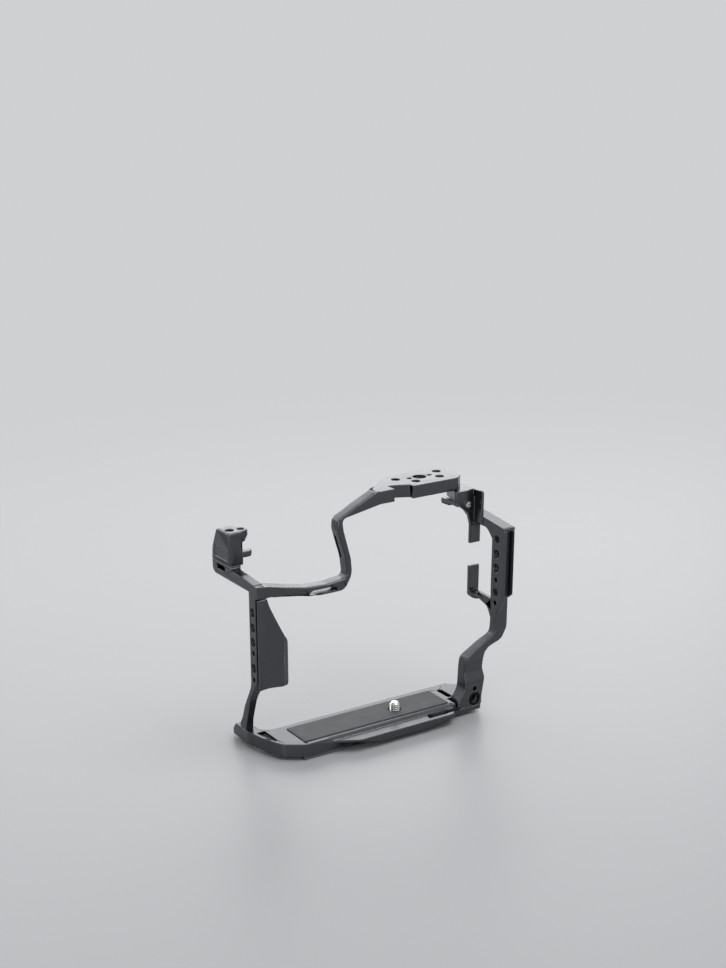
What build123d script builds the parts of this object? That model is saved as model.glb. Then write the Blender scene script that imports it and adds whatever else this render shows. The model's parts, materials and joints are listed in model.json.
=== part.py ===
from build123d import *
import math
import os

# Camera cage: an aluminium frame that closes round the body of a large mirrorless camera.
# Origin: on the axis of the camera screw, at the top of the rubber pad, where the camera's base sits.
# +X runs to the port side of the camera, +Y from the lens side to the back, +Z up. Millimetres.

# ---------------------------------------------------------------- fits
clearance = 0.3                 # round pieces that move
screw_fit = 0.05                # radial, round a screw that turns in its hole

# ---------------------------------------------------------------- base plate
pad_proud = 0.7                 # the pad stands above the plate
plate_thick = 8.0
plate_right = 58.0
heel_out = 3.3                  # the plate stands this far outside the column
plate_front, plate_back = -12.6, 17.0
nose_length, nose_depth = 19.8, 22.0        # the rounded lens-side corner at the grip end
heel_back, heel_width = 42.5, 7.8           # grip-side strip that runs back under the column
foot_height, foot_inset = 2.3, 2.0          # dovetail rail under the plate
foot_right = 37.0
lip_left, lip_right = -55.0, 36.0           # lens-side lip
lip_depth, lip_taper = 8.0, 17.0
lip_undercut_left, lip_undercut_right = 20.0, 24.0      # its underside is cut away towards both ends
lip_drop, lip_thick = 2.3, 4.8
pad_right = 34.5
pad_front, pad_back = -9.5, 12.5
pad_thick, pad_gap = 2.2, 0.1
pad_inset = 1.5                 # from the end of the dovetail rail to the end of the pad
strap_slot_x, strap_slot_y = 41.2, 4.3
strap_slot_length, strap_slot_width = 13.2, 3.6
pocket_depth, pocket_rim, pocket_width = 4.5, 3.6, 5.6
rib_pitch, rib_width = 2.2, 1.1
toe_thick = 3.0                 # what is left of the plate under the side frame's foot

# ---------------------------------------------------------------- camera screw
thread_radius, thread_length = 3.15, 5.0
shank_radius = 2.5
head_radius, head_thick = 7.0, 2.4
head_recess = 1.2               # the head sits this far inside the underside
screw_drop = 2.8                # the screw falls back this far and stays captive
clip_radius, clip_thick = 3.8, 0.8

# ---------------------------------------------------------------- stowed driver
groove_start, groove_length = 15.0, 24.0
driver_radius, handle_length = 1.8, 14.0
blade_radius = 1.1
magnet_radius, magnet_thick = 1.5, 1.5

# ---------------------------------------------------------------- main frame
ring_front, ring_back = 13.0, 21.5          # the bar, the rising arm and the top plate's left end
column_left, column_thick = -88.5, 6.0
column_front, column_back = 14.5, 22.0
column_foot_back = 31.5
crotch_z = 88.0
bar_z, bar_height = 79.6, 6.2
elbow_x, rise_x = -22.0, -28.3              # lens-side edge of the rising arm, low and high
arm_thick = 4.6
shoulder_z = 123.0
top_z, top_thick = 137.0, 8.0
top_right = 61.5
top_front, top_step = 12.5, 3.5             # the raised front block stands this far forward
text_face_left = 21.0
top_back = 41.5

threaded_radius = 2.75          # 1/4 inch thread, minor wall
large_thread_radius = 4.2       # 3/8 inch thread, minor wall
locating_radius = 1.5
threaded_z = (76.0, 66.5, 57.5, 41.0)
locating_z = (50.5, 33.5)
small_threads = ((20.0, 30.0), (28.5, 20.5), (47.0, 21.5), (52.0, 32.0))
large_thread_x, large_thread_y = 36.0, 27.5
locating_offset = 7.5
underside_threads = (-40.0, -22.0)

# ---------------------------------------------------------------- lug block
block_width = 8.5               # of the wall under the boss
block_front, block_back = 45.0, 66.0
block_seam, block_top = 96.4, 117.0
block_top_back = 59.5           # its back leans forward to here
band_bottom, band_top, band_depth = 99.2, 106.5, 0.35   # shallow recess on the grip-side face
boss_out, boss_in = 11.1, 5.2   # axis of the boss that holds the hook screw, from the block's corner
boss_radius = 4.2
lug_slot_length, lug_slot_width, lug_slot_z = 10.5, 3.4, 93.5

# ---------------------------------------------------------------- side frame
wall_inner, wall_thick = 65.5, 3.0
post_front, post_back = -20.0, -9.0
post_bottom, post_top = 60.0, 110.5
post_hole_y = -13.6
rail_screw_z = (102.4, 68.0)
post_thread_z = (92.8, 83.7)
post_pin_z = (75.9, 60.9)
rail_thick, rail_back = 5.8, -5.0
rail_bottom, rail_top = 64.0, 108.0
rail_lip, rail_groove = 1.3, 2.6
foot_depth = 9.0               # of the side frame's foot, front to back
arm_front, arm_back = -15.6, -8.8
tab_left, tab_right = 62.0, 69.6
tab_front, tab_thick = 8.6, 2.2
lower_tab_bottom, lower_tab_top = 60.0, 79.5
upper_tab_bottom, upper_tab_top = 94.4, 110.0
web_left, web_thick = 64.6, 1.6
web_front, web_back = 1.0, 20.7
web_top = 129.4
flange_left, flange_bottom = 50.5, 122.0
socket_x, socket_z = 52.6, -1.2
socket_radius, socket_wall, socket_depth = 2.75, 1.6, 5.0
pin_hole_z = 5.8
scoop_z, scoop_depth = 18.0, 1.7

# ---------------------------------------------------------------- strap lug hooks
hook_travel = 1.0
hook_height = 3.0
hook_pad_thick = 0.8
left_hook_z = 100.2
left_hook_reach, left_hook_half = 6.8, 2.3     # its tip stands this far past the screw; half its width
right_hook_x, right_hook_z = 51.6, 119.0
right_hook_back = 26.0
right_screw_x, right_screw_z = 59.2, 120.2
left_screw_radius, left_screw_head = 1.0, 1.9
right_screw_radius, right_screw_head = 1.0, 1.8
left_hook_floor = 0.4           # metal left under the screw's hole in the left hook
hook_head_thick, hook_head_sink = 1.6, 0.6      # the head stands this far below the boss's rim

# ---------------------------------------------------------------- grip shell and tab pads
shell_thick = 2.2
shell_inset, shell_width = 0.2, 17.9
shell_bottom = 28.4
shell_drop = 3.0                # its top edge lies this far below the crotch
shell_sweep = 4.0               # its free edge comes this far forward
tab_pad_thick = 0.6

# ---------------------------------------------------------------- small screws
bolt_radius, bolt_head, bolt_head_thick = 1.25, 2.2, 1.4
bolt_socket = 0.9
column_bolt_radius, column_bolt_head = 1.0, 1.8         # smaller, side by side under the column

# ---------------------------------------------------------------- derived
plate_left = column_left - heel_out
plate_top = -pad_proud
plate_bottom = plate_top - plate_thick
foot_bottom = plate_bottom - foot_height
toe_top = plate_bottom + toe_thick
foot_left = plate_left + nose_length
pad_left = foot_left + pad_inset
lip_front = plate_front - lip_depth
lip_top = plate_top - lip_drop
lip_bottom = lip_top - lip_thick
top_bottom = top_z - top_thick
column_right = column_left + column_thick
column_y = (column_front + column_back) / 2
column_x = (column_left + column_right) / 2
wall_outer = wall_inner + wall_thick
rail_outer = wall_outer + rail_thick
tab_back = tab_front + tab_thick
web_right = web_left + web_thick
foot_back = plate_front + foot_depth
driver_y = plate_front - driver_radius - clearance - 0.5
driver_z = lip_top - 0.4
head_top = foot_bottom + head_recess + head_thick
clip_top = plate_top - 1.9
block_left = column_left
block_right = block_left + block_width
block_middle = (block_front + block_back) / 2
boss_x = block_left + boss_out
boss_y = block_front + boss_in
left_hook_tip = boss_x + left_hook_reach
shell_back = column_front - screw_fit
shell_left = column_left + shell_inset
shell_right = shell_left + shell_width
shell_top = crotch_z - shell_drop
big = 200.0                     # longer than the whole cage, for cutting tools


# ---------------------------------------------------------------- shapes
def box(x0, x1, y0, y1, z0, z1):
    return Pos((x0 + x1) / 2, (y0 + y1) / 2, (z0 + z1) / 2) * Box(x1 - x0, y1 - y0, z1 - z0)


def outline_face(points, radii):
    """Closed outline with rounded corners. A radius is less where the sides beside it are short."""
    corners = [Vector(*point) for point in points]
    ends, edges = [], []
    for index, corner in enumerate(corners):
        before = corners[index - 1] - corner
        after = corners[(index + 1) % len(corners)] - corner
        half = math.radians(before.get_angle(after)) / 2
        reach = min(radii[index] / math.tan(half), 0.49 * before.length, 0.49 * after.length)
        if reach < 0.02:
            ends.append((corner, corner))
            continue
        enter, leave = corner + before.normalized() * reach, corner + after.normalized() * reach
        bisector = (before.normalized() + after.normalized()).normalized()
        middle = corner + bisector * reach * (1 / math.cos(half) - math.tan(half))
        edges.append(ThreePointArc(enter, middle, leave))
        ends.append((enter, leave))
    edges += [Line(ends[index - 1][1], ends[index][0]) for index in range(len(ends))]
    return make_face(edges)


def prism_xz(points, radii, y0, y1):
    """A closed outline in X and Z with rounded corners, from y0 back to y1."""
    return extrude(outline_face([(x, y0, z) for x, z in points], radii), amount=y1 - y0, dir=(0, 1, 0))


def prism_yz(points, radii, x0, x1):
    """A closed outline in Y and Z with rounded corners, from x0 to x1."""
    return extrude(outline_face([(x0, y, z) for y, z in points], radii), amount=x1 - x0, dir=(1, 0, 0))


def prism_xy(points, radii, z0, z1):
    """A closed outline in X and Y with rounded corners, from z0 up to z1."""
    return extrude(outline_face([(x, y, z0) for x, y in points], radii), amount=z1 - z0, dir=(0, 0, 1))


def rod_x(y, z, radius, x0, x1):
    return Pos((x0 + x1) / 2, y, z) * Rot(0, 90, 0) * Cylinder(radius, x1 - x0)


def rod_y(x, z, radius, y0, y1):
    return Pos(x, (y0 + y1) / 2, z) * Rot(90, 0, 0) * Cylinder(radius, y1 - y0)


def rod_z(x, y, radius, z0, z1):
    return Pos(x, y, (z0 + z1) / 2) * Cylinder(radius, z1 - z0)


def slot_along_y(length, width, depth):
    """A round-ended bar, long along Y and deep along Z, centred."""
    straight = length - width
    end = Cylinder(width / 2, depth)
    return Box(width, straight, depth) + Pos(0, straight / 2, 0) * end + Pos(0, -straight / 2, 0) * end


def bolt(length, shank=bolt_radius, head=bolt_head):
    """Cap screw standing on its head: the head below z = 0, the shank above it."""
    cap = Pos(0, 0, -bolt_head_thick / 2) * Cylinder(head, bolt_head_thick)
    key = Pos(0, 0, -bolt_head_thick) * extrude(RegularPolygon(bolt_socket, 6), bolt_socket)
    return cap - key + Pos(0, 0, length / 2) * Cylinder(shank, length)


def bolt_hole(length, reach=20.0, shank=bolt_radius, head=bolt_head):
    """What a bolt takes away: its shank, and its head with a way out behind it."""
    bore = Pos(0, 0, length / 2) * Cylinder(shank, length)
    return bore + Pos(0, 0, -reach / 2) * Cylinder(head + clearance / 2, reach)


def placed(places, shape):
    return [place * shape for place in places]


# ---------------------------------------------------------------- where the screws go
def column_bolts():
    """Up through the heel into the column's foot."""
    z = plate_bottom + bolt_head_thick + 0.6
    return [Pos(column_left - 0.4, y, z) for y in (column_foot_back - 5.8, column_foot_back - 1.7)]


def toe_bolts():
    """Up through the toe into the side frame's foot."""
    z = plate_bottom + bolt_head_thick
    return [Pos(x, foot_back - bolt_head - 0.3, z) for x in (foot_right + 6.0, plate_right - 5.0)]


def flange_bolts():
    """Up through the side frame's flange into the top plate."""
    z = flange_bottom + bolt_head_thick + 0.6
    return [Pos(top_right - 4.2, column_front + 3.0, z), Pos(top_right - 2.7, column_back + 1.0, z)]


def block_bolts():
    """Up through the block arm into the lug block, either side of the strap slot."""
    reach = lug_slot_length / 2 + bolt_head + 1.0
    z = crotch_z + bolt_head_thick + 3.0
    return [Pos(block_left + 3.6, block_middle + side * reach, z) for side in (-1, 1)]


def shell_bolts():
    """Forward through the column into the grip shell, between the threaded holes."""
    heights = ((threaded_z[0] + threaded_z[1]) / 2, (threaded_z[3] + locating_z[0]) / 2 + 0.6)
    return [Pos(column_x, column_back - bolt_head_thick, z) * Rot(90, 0, 0) for z in heights]


def rail_bolts():
    """Outward through the post into the side rail."""
    return [Pos(wall_inner + bolt_head_thick, post_hole_y, z) * Rot(0, 90, 0) for z in rail_screw_z]


shell_bolt_length = column_back - bolt_head_thick - shell_back + shell_thick - 0.6
rail_bolt_length = wall_thick - bolt_head_thick + rail_thick - 1.6
column_bolt_length = plate_thick - bolt_head_thick + 3.0
toe_bolt_length = toe_thick - bolt_head_thick + 4.0
flange_bolt_length = top_bottom - flange_bottom - bolt_head_thick + 3.0
block_bolt_length = block_seam - crotch_z - bolt_head_thick + 0.6
column_bolt = bolt(column_bolt_length, column_bolt_radius, column_bolt_head)
magnet_x = (groove_start + 5.0, groove_start + 12.0)


def column_bolt_holes():
    hole = bolt_hole(column_bolt_length, shank=column_bolt_radius, head=column_bolt_head)
    return placed(column_bolts(), hole)


# ---------------------------------------------------------------- base plate and what it carries
def pocket_prism(inset, z0, z1):
    """Pocket beside the grip-side corner, or what fits in it with a gap all round."""
    left = plate_left + pocket_rim
    right = left + pocket_width
    front, back = plate_front + 10.9, plate_back + 0.5
    corners = [(left, back), (right, back), (right, front), (left + 2.0, front + 7.3)]
    face = outline_face([(x, y, z0) for x, y in corners], [1, 1, 2, 2])
    return extrude(offset(face, -inset) if inset else face, amount=z1 - z0, dir=(0, 0, 1))


def below_plane(a, b, c):
    """Everything below the slanted plane through three points, for an undercut."""
    across = Vector(*b) - Vector(*a)
    up = across.cross(Vector(*c) - Vector(*a))
    up = up if up.Z > 0 else -up
    return Plane(a, x_dir=across, z_dir=up) * Pos(0, 0, -big / 2) * Box(big, big, big)


def make_base_plate():
    """Flat plate with a dovetail foot, a lens-side lip and a heel at the grip end."""
    nose = plate_left + nose_length
    outline = [
        (plate_right, plate_front), (nose, plate_front), (nose - 11.7, plate_front + 7.8),
        (nose - 16.9, plate_front + nose_depth),
        (plate_left, plate_front + nose_depth + 12), (plate_left + 0.3, heel_back),
        (plate_left + heel_width, heel_back),
        (plate_left + heel_width, plate_back + 4), (plate_left + heel_width + 5, plate_back),
        (plate_right - 7, plate_back), (plate_right, plate_back - 7),
    ]
    solid = prism_xy(outline, [1.5, 8, 9, 16, 16, 3, 3, 3, 3, 5, 5], plate_bottom, plate_top)
    heel_end = prism_yz(
        [(heel_back - 5.5, plate_top), (heel_back + 0.2, plate_bottom + 1), (heel_back + 1, plate_top + 1),
         (heel_back - 5.5, plate_top + 1)],
        [0, 0, 0, 0], plate_left - 1, plate_left + heel_width + 1)
    bevel = Rot(45, 0, 0) * Box(lip_right - lip_left, 3.2, 3.2)
    bevel = Pos((lip_left + lip_right) / 2, plate_front, plate_top) * bevel
    solid = solid - heel_end - bevel
    lip = prism_xy(
        [(lip_left, plate_front + 1), (lip_left + lip_taper, lip_front), (lip_right - 4, lip_front),
         (lip_right, plate_front + 1)],
        [0.5, 12, 4, 0.5], lip_bottom, lip_top)
    left_corner = (lip_left + lip_undercut_left, lip_front, lip_top - 1.8)
    lip -= below_plane(
        (lip_left, plate_front, lip_top - 1.3), left_corner,
        (lip_left + lip_undercut_left / 2 + 4, plate_front, lip_bottom))
    lip -= below_plane(
        (lip_right - lip_undercut_right, lip_front, lip_bottom), (lip_right, plate_front - 0.5, lip_bottom),
        (lip_right, lip_front, lip_bottom + 3.2))
    solid += lip
    solid += prism_yz(
        [(plate_front, foot_bottom), (plate_front + foot_inset, plate_bottom + 0.5),
         (plate_back - foot_inset, plate_bottom + 0.5), (plate_back, foot_bottom)],
        [0.3, 0, 0, 0.3], foot_left, foot_right)
    pad_floor = -pad_thick
    solid -= fillet(box(pad_left, pad_right, pad_front, pad_back, pad_floor, 1).edges().filter_by(Axis.Z), 1)
    strap_slot = slot_along_y(strap_slot_length, strap_slot_width, big)
    solid -= Pos(strap_slot_x, strap_slot_y, plate_top) * strap_slot
    solid -= pocket_prism(0, plate_top - pocket_depth, plate_top + 1)
    toe_left = foot_right + 0.6
    solid -= box(toe_left, plate_right + 1, plate_front - 1, foot_back + screw_fit, toe_top, plate_top + 1)
    # stowed driver
    room = driver_radius + clearance
    groove_end = groove_start + groove_length
    solid -= rod_x(driver_y, driver_z, room, groove_start, groove_end)
    solid -= box(groove_start, groove_end, driver_y - room, driver_y + room, driver_z, plate_top + 1)
    for x in magnet_x:
        solid -= rod_z(x, driver_y, magnet_radius, lip_bottom - 1, lip_bottom + magnet_thick)
    # camera screw
    solid -= rod_z(0, 0, shank_radius + clearance, -big, big)
    solid -= rod_z(0, 0, clip_radius + clearance, clip_top - clip_thick - screw_drop - 0.1, plate_top + 1)
    solid -= rod_z(0, 0, head_radius + clearance, foot_bottom - 1, head_top + 0.2)
    for x in underside_threads:
        solid -= rod_z(x, 0, threaded_radius, foot_bottom - 1, pad_floor - 2)
    for hole in column_bolt_holes() + placed(toe_bolts(), bolt_hole(toe_bolt_length)):
        solid -= hole
    return solid


def make_base_pad():
    pad = box(pad_left + pad_gap, pad_right - pad_gap, pad_front + pad_gap, pad_back - pad_gap, -pad_thick, 0)
    pad = fillet(pad.edges().filter_by(Axis.Z), 1)
    pad = chamfer(pad.edges().group_by(Axis.Z)[-1], 0.3)
    return pad - rod_z(0, 0, clip_radius + clearance, -pad_thick - 1, 1)


def make_end_pad():
    """Ribbed rubber insert in the pocket."""
    floor = plate_top - pocket_depth
    insert = pocket_prism(pad_gap, floor, floor + 1.4)
    blank = pocket_prism(pad_gap, floor, floor + 3.4)
    last = plate_back - 1.5
    for step in range(8):
        y = last - step * rib_pitch
        insert += blank & box(plate_left, plate_left + big, y - rib_width, y, floor + 1, floor + 3.4)
    return insert


def make_camera_screw():
    underside = head_top - head_thick
    head = rod_z(0, 0, head_radius, underside, head_top)
    head = chamfer(head.edges().group_by(Axis.Z)[0], 0.5)
    thread_bottom = clip_top + 0.1
    thread = rod_z(0, 0, thread_radius, thread_bottom, thread_length)
    thread = chamfer(thread.edges().group_by(Axis.Z)[-1], 0.6)
    screw = head + rod_z(0, 0, shank_radius, head_top - 0.5, thread_bottom + 0.5) + thread
    screw -= box(-head_radius - 1, head_radius + 1, -0.8, 0.8, underside - 1, underside + 1.2)
    return screw - Pos(0, 0, underside) * extrude(RegularPolygon(2.3, 6), 2.0)


def make_screw_clip():
    ring = rod_z(0, 0, clip_radius, clip_top - clip_thick, clip_top)
    return ring - rod_z(0, 0, shank_radius + screw_fit, clip_top - 2, clip_top + 1)


def make_driver():
    """Hex key with a round handle that lies in the lip's groove."""
    start = groove_start + clearance
    end = groove_start + groove_length - clearance
    handle = rod_x(driver_y, driver_z, driver_radius, start, start + handle_length)
    handle = fillet(handle.edges().filter_by(GeomType.CIRCLE), 0.6)
    blade_length = end - start - handle_length + 0.5
    blade = Rot(0, 90, 0) * extrude(RegularPolygon(blade_radius, 6), blade_length)
    return handle + Pos(end - blade_length, driver_y, driver_z) * blade


def make_driver_magnets():
    magnet_top = lip_bottom + magnet_thick
    return Compound(children=[rod_z(x, driver_y, magnet_radius, lip_bottom, magnet_top) for x in magnet_x])


# ---------------------------------------------------------------- main frame
def make_column():
    """Upright on the grip side; its foot steps outwards and back onto the heel."""
    front_view = prism_xz(
        [(column_left, crotch_z + 5), (column_left, 26), (plate_left + 0.4, 2), (plate_left + 0.4, plate_top),
         (column_left + 2.2, plate_top), (column_left + 2.2, 6), (column_right, 30),
         (column_right, crotch_z + 5)],
        [0, 24, 2, 0, 0, 16, 12, 0], -big, big)
    side_view = prism_yz(
        [(column_front, crotch_z + 5), (column_front, 33.5), (column_front + 8, 19.5),
         (column_front + 10, plate_top),
         (column_foot_back, plate_top), (column_foot_back, 1.8), (column_foot_back - 2, 6),
         (column_back + 6, 14),
         (column_back, 29), (column_back, crotch_z + 5)],
        [0, 8, 16, 0, 0, 1, 4, 8, 16, 0], -big, big)
    return front_view & side_view


def make_block_arm():
    """From the column's head back to the lower half of the lug block."""
    arm = prism_yz(
        [(column_front, crotch_z), (block_back, crotch_z), (block_back, block_seam),
         (block_front, block_seam),
         (block_front, block_seam - 1.2), (block_front - 3, block_seam - 1.8),
         (block_front - 13, crotch_z + 6.6), (column_front, crotch_z + 5.2)],
        [4, 6, 0, 0, 0.5, 3, 10, 3], column_left, block_right)
    return arm - prism_xy(
        [(column_right, 0), (column_right, block_front - 9), (block_right - 1.5, block_front + 1),
         (block_right + 2, block_front + 1), (block_right + 2, 0)],
        [0, 6, 3, 0, 0], 0, big)


def make_shoulder():
    """The bar over the grip and the arm that rises from it to the top plate."""
    bar_top = bar_z + bar_height
    inner = [
        (8, top_bottom), (-1, top_bottom), (rise_x - 0.6, shoulder_z + 1), (rise_x + 0.3, shoulder_z - 6),
        (elbow_x - 1, 99),
        (elbow_x, bar_top + 3), (elbow_x - 5.5, bar_z), (elbow_x - 23, bar_z),
        (column_left + 16.5, bar_z + 4.4),
        (column_left + 8.5, shell_top + clearance), (column_left, shell_top - 7),
    ]
    outer = [
        (column_left, crotch_z + 5.2), (column_left + 8.5, crotch_z + 4.0),
        (column_left + 20.5, bar_top + 3.4),
        (column_left + 34.5, bar_top + 0.7), (elbow_x - 18, bar_top), (elbow_x - 3.4, bar_top + 1.5),
        (elbow_x - 4.8, 99), (rise_x - arm_thick + 0.4, shoulder_z - 5),
        (rise_x - arm_thick + 1, shoulder_z + 0.5),
        (-18.5, 130.8), (-5, top_z), (8, top_z),
    ]
    radii = [0, 8, 3, 12, 10, 12, 6, 20, 6, 5, 0, 0, 8, 16, 30, 20, 3, 14, 10, 3, 30, 8, 0]
    shoulder = prism_xz(inner + outer, radii, ring_front, ring_back)
    bar_slot = prism_xz(
        [(elbow_x - 32, bar_z + 1.5), (elbow_x - 28, bar_z + 4), (elbow_x - 14, bar_z + 4),
         (elbow_x - 10, bar_z + 3),
         (elbow_x - 12, bar_z + 1.5)], [0.8, 1, 1, 0.6, 1], -big, big)
    arm_slot = box(rise_x - big, elbow_x, ring_back - 3.6, ring_back - 1.2, 98, 113)
    crotch_room = box(-big, column_right + 5.5, 0, shell_back + clearance, 0, shell_top + clearance)
    return shoulder - bar_slot - arm_slot - crotch_room


def make_top_plate():
    step_y = top_front + top_step
    outline = [
        (text_face_left, top_front), (text_face_left, step_y), (9, 21.5), (-2, 15.5), (-5, ring_back),
        (2, 25), (12, 34.5),
        (21, 38), (36, 39.8), (51, top_back), (top_right, 34), (top_right - 1, 18),
        (top_right - 7, top_front),
    ]
    return prism_xy(outline, [0.8, 1.5, 8, 2, 1, 6, 6, 12, 20, 8, 6, 4, 2], top_bottom, top_z)


def make_main_frame():
    """Column, block arm, bar, rising arm and top plate, cut from one billet."""
    frame = make_column() + make_block_arm() + make_shoulder() + make_top_plate()
    strap_slot = Rot(0, 90, 0) * slot_along_y(lug_slot_length, lug_slot_width, 30)
    frame -= Pos((block_left + block_right) / 2, block_middle, lug_slot_z) * strap_slot
    for z in threaded_z:
        frame -= rod_x(column_y, z, threaded_radius, column_left - 5, column_right + 5)
    for z in locating_z:
        frame -= rod_x(column_y, z, locating_radius, column_left - 5, column_right + 5)
    for x, y in small_threads:
        frame -= rod_z(x, y, threaded_radius, top_bottom - 1, top_z + 1)
    frame -= rod_z(large_thread_x, large_thread_y, large_thread_radius, top_bottom - 1, top_z + 1)
    for x in (large_thread_x - locating_offset, large_thread_x + locating_offset):
        frame -= rod_z(x, large_thread_y, locating_radius, top_bottom + 3, top_z + 1)
    holes = column_bolt_holes()
    holes += placed(flange_bolts(), bolt_hole(flange_bolt_length))
    holes += placed(block_bolts(), bolt_hole(block_bolt_length))
    holes += placed(shell_bolts(), bolt_hole(shell_bolt_length))
    for hole in holes:
        frame -= hole
    return frame


def make_grip_shell():
    """Curved plate on the column; its free edge comes forward towards the grip."""
    front = shell_back - shell_thick
    crest = column_right + 0.2
    fall = (crest - shell_left) ** 2 / (shell_right - crest) ** 2 * shell_sweep
    near = [(shell_left, front - fall), (crest, front), (shell_right, front - shell_sweep)]
    far = [(x, y + shell_thick) for x, y in near]
    section = make_face([
        ThreePointArc(*near), Line(near[2], far[2]), ThreePointArc(*reversed(far)), Line(far[0], near[0])])
    blank = Pos(0, 0, shell_bottom) * extrude(section, amount=shell_top - shell_bottom)
    outline = [(shell_left, shell_bottom), (shell_right, shell_bottom), (shell_right, shell_top - 27),
               (column_right + 2.3, shell_top - 4.5), (column_right + 1, shell_top), (shell_left, shell_top)]
    shell = blank & prism_xz(outline, [0.5, 4, 8, 4, 1, 0.5], -big, big)
    for hole in placed(shell_bolts(), bolt_hole(shell_bolt_length)):
        shell -= hole
    return shell


# ---------------------------------------------------------------- lug block and the left hook
def left_hook_room():
    """Pocket that the left hook slides in, open towards the camera."""
    half = left_hook_half + clearance
    return box(boss_x - 4.9, boss_x + 10, boss_y - half, boss_y + half,
               left_hook_z - clearance, left_hook_z + hook_height + hook_travel + clearance)


def make_lug_block():
    """Grip-side block with a round boss at its top on the camera side."""
    side_view = prism_yz(
        [(block_front, block_seam), (block_back, block_seam), (block_back - 0.8, block_seam + 8.4),
         (block_top_back, block_top),
         (block_front, block_top)],
        [0, 0, 8, 2.5, 1.2], -big, big)
    wall = prism_xz(
        [(block_left, block_seam), (block_left, block_top), (block_right + 1, block_top),
         (block_right + 1, block_top - 4.5),
         (block_right - 0.2, block_top - 8), (block_right + 1.1, block_seam + 7),
         (block_right + 1.1, block_seam)],
        [0.4, 1.5, 0, 1.5, 6, 6, 0], -big, big)
    boss = rod_z(boss_x, boss_y, boss_radius, block_top - 3.6, block_top)
    boss = chamfer(boss.edges().group_by(Axis.Z)[-1], 0.5)
    flare = Pos(boss_x, boss_y, block_top - 5.6) * Cone(boss_radius - 1.8, boss_radius, 4.0)
    web = prism_xy(
        [(block_right, block_front + 1.3), (boss_x, boss_y - boss_radius), (boss_x, boss_y + boss_radius),
         (block_right - 2, block_top_back - 2.5)],
        [0, 0, 0, 0], block_top - 4.5, block_top)
    block = (side_view & wall) + boss + flare + web
    block -= rod_z(block_left + 4.2, boss_y + 1, threaded_radius, block_top - 8, block_top + 1)
    band_front, band_back = block_front + 1.5, block_top_back + 3
    block -= box(block_left - 1, block_left + band_depth, band_front, band_back, band_bottom, band_top)
    block -= left_hook_room()
    block -= rod_z(boss_x, boss_y, left_screw_radius + screw_fit, block_seam, big)
    seat = block_top - hook_head_thick - hook_head_sink
    block -= rod_z(boss_x, boss_y, left_screw_head + clearance, seat, big)
    for hole in placed(block_bolts(), bolt_hole(block_bolt_length)):
        block -= hole
    return block


def make_left_hook():
    """Round-ended finger that reaches out of the block, over the strap lug."""
    half = left_hook_half
    finger = prism_xy(
        [(boss_x - 4.6, boss_y - half), (left_hook_tip, boss_y - half), (left_hook_tip, boss_y + half),
         (boss_x - 4.6, boss_y + half)],
        [0.3, half - 0.3, half - 0.3, 0.3], left_hook_z, left_hook_z + hook_height)
    return finger - rod_z(boss_x, boss_y, left_screw_radius + screw_fit, left_hook_z + left_hook_floor, big)


def make_left_hook_pad():
    edge = 0.5
    half = left_hook_half - edge
    return prism_xy(
        [(boss_x - 0.6, boss_y - half), (left_hook_tip - edge, boss_y - half),
         (left_hook_tip - edge, boss_y + half), (boss_x - 0.6, boss_y + half)],
        [0.3, half - 0.3, half - 0.3, 0.3], left_hook_z - hook_pad_thick, left_hook_z)


def hook_screw(length, shank, head):
    """Slotted hook screw: the head above z = 0, the shank below it."""
    cap = Pos(0, 0, hook_head_thick / 2) * Cylinder(head, hook_head_thick)
    slot = Pos(0, 0, hook_head_thick) * Box(2 * head + 1, 0.8, 1.4)
    return cap - slot + Pos(0, 0, -length / 2) * Cylinder(shank, length)


def make_left_hook_screw():
    seat = block_top - hook_head_thick - hook_head_sink + screw_fit
    end = left_hook_z + left_hook_floor + hook_travel + clearance      # clear of the hook at its highest
    return Pos(boss_x, boss_y, seat) * hook_screw(seat - end, left_screw_radius, left_screw_head)


# ---------------------------------------------------------------- side frame
def make_lower_arm():
    """Foot with a scoop across its front face, and the arm that steps outwards above it."""
    foot_inner, foot_outer = foot_right + 8.6, plate_right + 1.3
    front_view = prism_xz(
        [(foot_right + 1.6, toe_top), (foot_right + 4.3, 0.4), (foot_inner - 0.8, 6),
         (foot_inner - 0.2, 21), (foot_inner + 0.6, 26.7),
         (wall_inner - 8.6, 35.9), (wall_inner - 0.6, 41), (wall_inner, 48), (wall_inner, rail_bottom),
         (rail_outer, rail_bottom),
         (rail_outer, 44), (rail_outer - 4, 36.8), (rail_outer - 13, 33.2), (foot_outer, 29),
         (foot_outer, 19), (foot_outer + 1, 12),
         (plate_right, 0), (plate_right, toe_top)],
        [0.5, 8, 8, 14, 6, 12, 5, 6, 0, 0, 10, 6, 8, 3, 8, 8, 6, 1], -big, big)
    side_view = prism_yz(
        [(plate_front, toe_top), (plate_front, scoop_z - 6.5), (plate_front + scoop_depth, scoop_z),
         (plate_front + 0.6, scoop_z + 7),
         (arm_front, scoop_z + 18), (arm_front, rail_bottom), (arm_back, rail_bottom),
         (arm_back, scoop_z + 23),
         (foot_back, scoop_z + 9), (foot_back, toe_top)],
        [0.5, 8, 8, 12, 14, 0, 0, 14, 14, 0.5], -big, big)
    return front_view & side_view


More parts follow.
